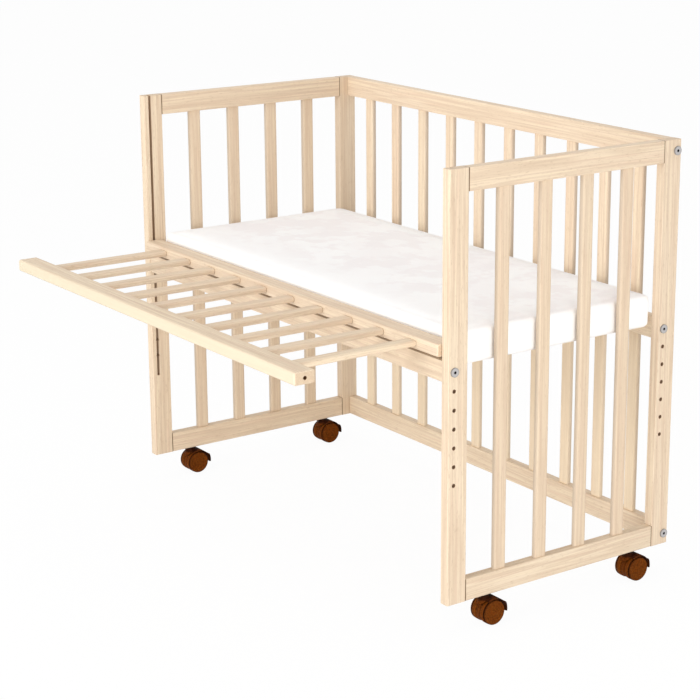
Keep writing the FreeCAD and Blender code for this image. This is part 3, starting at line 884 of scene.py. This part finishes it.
def rib_tree():
    """Grip ribs set round an arc over the axle, ending as a mesh with its material."""
    tree = bpy.data.node_groups.new("pedal_ribs", "GeometryNodeTree")
    face = tree.interface
    face.new_socket("Geometry", in_out="INPUT", socket_type="NodeSocketGeometry")
    for name, kind in (("Count", "NodeSocketInt"), ("Radius", "NodeSocketFloat"),
                       ("First angle", "NodeSocketFloat"), ("Angle step", "NodeSocketFloat"),
                       ("Rib length", "NodeSocketFloat"), ("Rib thickness", "NodeSocketFloat"),
                       ("Material", "NodeSocketMaterial")):
        face.new_socket(name, in_out="INPUT", socket_type=kind)
    face.new_socket("Geometry", in_out="OUTPUT", socket_type="NodeSocketGeometry")
    g = Nodes(tree, "NodeGroupOutput")
    given = {socket.name: Value(g, socket)
             for socket in tree.nodes.new("NodeGroupInput").outputs}
    line = g.node("GeometryNodeMeshLine", {"mode": "OFFSET"}, {"Count": given["Count"]})
    angle = g.node("GeometryNodeInputIndex") * given["Angle step"] + given["First angle"]
    y, z = (angle.maths(turn) * given["Radius"] for turn in ("COSINE", "SINE"))
    points = g.node("GeometryNodeSetPosition", None,
                    {"Geometry": line, "Position": g.join(0.0, y, z)})
    rod = g.node("GeometryNodeMeshCylinder", None,
                 {"Vertices": 12, "Radius": given["Rib thickness"],
                  "Depth": given["Rib length"]})
    placed = g.node("GeometryNodeInstanceOnPoints", None,
                    {"Points": points, "Instance": rod,
                     "Rotation": g.join(0.0, math.pi / 2, 0.0)})
    solid = g.node("GeometryNodeRealizeInstances", None, {"Geometry": placed})
    g.ends_with(g.node("GeometryNodeSetMaterial", None,
                       {"Geometry": solid, "Material": given["Material"]}))
    return tree


def grown(name, tree, values):
    """The plain mesh that a tree makes with these inputs."""
    holder = bpy.data.objects.new(name, bpy.data.meshes.new(name))
    bpy.context.scene.collection.objects.link(holder)
    modifier = holder.modifiers.new("build", "NODES")
    modifier.node_group = tree
    for item in tree.interface.items_tree:
        if item.item_type == "SOCKET" and item.in_out == "INPUT" and item.name in values:
            modifier[item.identifier] = values[item.name]
    made_plain(holder)
    mesh = holder.data
    bpy.data.objects.remove(holder)
    return mesh


class CRIB_OT_brakes(bpy.types.Operator):
    """Builds the brake pedals, ribbed for a foot, with their arms and pivots"""
    bl_idname = "crib.brakes"
    bl_label = "Make brake pedals"

    def execute(self, context):
        settings = context.scene.crib_casters
        tone = tuple(settings.tone)
        plastic = grained_plastic("pedal_plastic", shade(tone, (0.7, 0.66, 0.7))[:3], tone, 0.6)
        # the outer ribs keep 4 degrees off the pad's ends
        count, first, last = settings.ribs, PAD_START + 4, PAD_END - 4
        ribs = grown("ribs", rib_tree(), {
            "Count": count, "Radius": PAD_OUT - 0.0001, "First angle": math.radians(first),
            "Angle step": math.radians((last - first) / max(1, count - 1)),
            "Rib length": 2 * PAD_HALF - 0.006, "Rib thickness": 0.0005, "Material": plastic})
        slope = Matrix.Rotation(math.radians(ARM_SLOPE), 4, "X")
        wide, long, high = ARM_SIZE
        for name in CASTERS:
            centre = hub_of(name)
            bm = bmesh.new()
            swept(bm, rounded_section(PAD_HALF, PAD_IN, PAD_OUT - 0.0002, 0.0012), centre,
                  PAD_START, PAD_END, 14)
            pivot = Vector((centre.x, centre.y + LEVER_BACK, centre.z + LEVER_UP))
            drum(bm, wide / 2, KNUCKLE, pivot, 32)
            drum(bm, WEB_HALF, PIVOT_RADIUS, pivot, 20)
            for vertex in bmesh.ops.create_cube(bm, size=1.0)["verts"]:
                spot = Vector((vertex.co.x * wide, (vertex.co.y + 0.5) * long,
                               (vertex.co.z + 0.5) * high - ARM_DROP))
                vertex.co = pivot + slope @ spot
            mesh = from_bmesh(name + "_pedal_mesh", bm)
            grip = bmesh.new()
            grip.from_mesh(ribs)
            bmesh.ops.translate(grip, vec=centre, verts=grip.verts)
            grip.from_mesh(mesh)
            grip.to_mesh(mesh)
            grip.free()
            smoothed(mesh)
            pedal = to_object(name + "_pedal", mesh, plastic)
            worn(pedal, 40)
            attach(pedal, name + "_lever")
            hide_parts(name + "_brake")
        return {"FINISHED"}


class CRIB_OT_stage(bpy.types.Operator):
    """Lays the floor, and sets the lamps, the sky and the camera"""
    bl_idname = "crib.stage"
    bl_label = "Set stage"

    def execute(self, context):
        scene = context.scene
        settings = scene.crib_stage
        self.floor()
        self.sky(scene, settings.sky)
        # a wide lamp in front, a low one at the right end, and a weak one above
        lamps = (("front", (0.2, -5.0, 1.7), 2.6, settings.front),
                 ("right", (3.2, -0.9, 0.35), 1.0, settings.right),
                 ("above", (0.0, 0.2, 4.0), 2.4, settings.above))
        for name, spot, size, power in lamps:
            light = bpy.data.lights.new(name, "AREA")
            light.size, light.energy = size, power
            lamp = bpy.data.objects.new(name, light)
            lamp.location = spot
            aim = Vector((0.0, 0.0, 0.4)) - lamp.location
            lamp.rotation_euler = aim.to_track_quat("-Z", "Y").to_euler()
            lamp.visible_camera = False
            scene.collection.objects.link(lamp)
        self.camera(scene)
        scene.view_settings.view_transform = "Standard"
        return {"FINISHED"}

    def floor(self):
        """The floor looks white, and throws a little less light up on what stands on it."""
        bm = bmesh.new()
        bmesh.ops.create_grid(bm, x_segments=1, y_segments=1, size=14.0)
        f = Finish("white_floor")
        white = f.node("ShaderNodeEmission", None, {"Color": WHITE, "Strength": 1.0})
        seen = f.looked_at()
        plain = f.node("ShaderNodeBsdfDiffuse", None,
                       {"Color": f.mix(seen, (0.9, 0.9, 0.9, 1.0), (0.99, 0.99, 0.99, 1.0))})
        f.ends_with(f.either(seen * 0.95, plain, white))
        floor = to_object("floor", from_bmesh("floor", bm, False), f.material)

    def sky(self, scene, strength):
        """The sky looks white, and lights the crib with this strength."""
        world = bpy.data.worlds.new("studio")
        scene.world = world
        world.use_nodes = True
        w = Nodes(world.node_tree, "ShaderNodeOutputWorld")
        light, white = (w.node("ShaderNodeBackground", None, {"Color": WHITE, "Strength": power})
                        for power in (strength, 1.0))
        w.ends_with(w.either(w.looked_at(), light, white))

    def camera(self, scene):
        ahead = Vector((-math.sin(YAW) * math.cos(PITCH), math.cos(YAW) * math.cos(PITCH),
                        -math.sin(PITCH)))
        right = Vector((math.cos(YAW), math.sin(YAW), 0.0))
        up = right.cross(ahead)
        across = right * math.cos(ROLL) + up * math.sin(ROLL)
        upward = up * math.cos(ROLL) - right * math.sin(ROLL)
        turn = Matrix((across, upward, -ahead)).transposed().to_4x4()
        data = bpy.data.cameras.new("camera")
        data.sensor_width, data.sensor_fit = SENSOR, "HORIZONTAL"
        data.lens = FOCAL / PICTURE * SENSOR
        data.shift_x = (PICTURE / 2 - CENTRE[0]) / PICTURE
        data.shift_y = (CENTRE[1] - PICTURE / 2) / PICTURE
        data.clip_end = 60.0
        camera = bpy.data.objects.new("camera", data)
        camera.matrix_world = Matrix.Translation(CAMERA_PLACE) @ turn
        scene.collection.objects.link(camera)
        scene.camera = camera


STEPS = (CRIB_OT_timber, CRIB_OT_fastenings, CRIB_OT_mattress, CRIB_OT_wheels,
         CRIB_OT_housings, CRIB_OT_brakes, CRIB_OT_stage)


class CRIB_PT_panel(bpy.types.Panel):
    """Lists the crib's pieces and their settings"""
    bl_idname = "CRIB_PT_panel"
    bl_label = "Crib"
    bl_space_type = "VIEW_3D"
    bl_region_type = "UI"
    bl_category = "Crib"

    def draw(self, context):
        for name, group in GROUPS.items():
            box = self.layout.box()
            for prop in group.__annotations__:
                box.prop(getattr(context.scene, name), prop)
        for step in STEPS:
            self.layout.operator(step.bl_idname)


def register():
    for name, group in GROUPS.items():
        bpy.utils.register_class(group)
        setattr(bpy.types.Scene, name, bpy.props.PointerProperty(type=group))
    for step in STEPS:
        bpy.utils.register_class(step)
    bpy.utils.register_class(CRIB_PT_panel)


def unregister():
    bpy.utils.unregister_class(CRIB_PT_panel)
    for step in reversed(STEPS):
        bpy.utils.unregister_class(step)
    for name, group in GROUPS.items():
        delattr(bpy.types.Scene, name)
        bpy.utils.unregister_class(group)


def main():
    register()
    bpy.ops.crib.timber()
    bpy.ops.crib.fastenings()
    bpy.ops.crib.mattress()
    bpy.ops.crib.wheels()
    bpy.ops.crib.housings()
    bpy.ops.crib.brakes()
    bpy.ops.crib.stage()


if __name__ == "__main__":
    main()
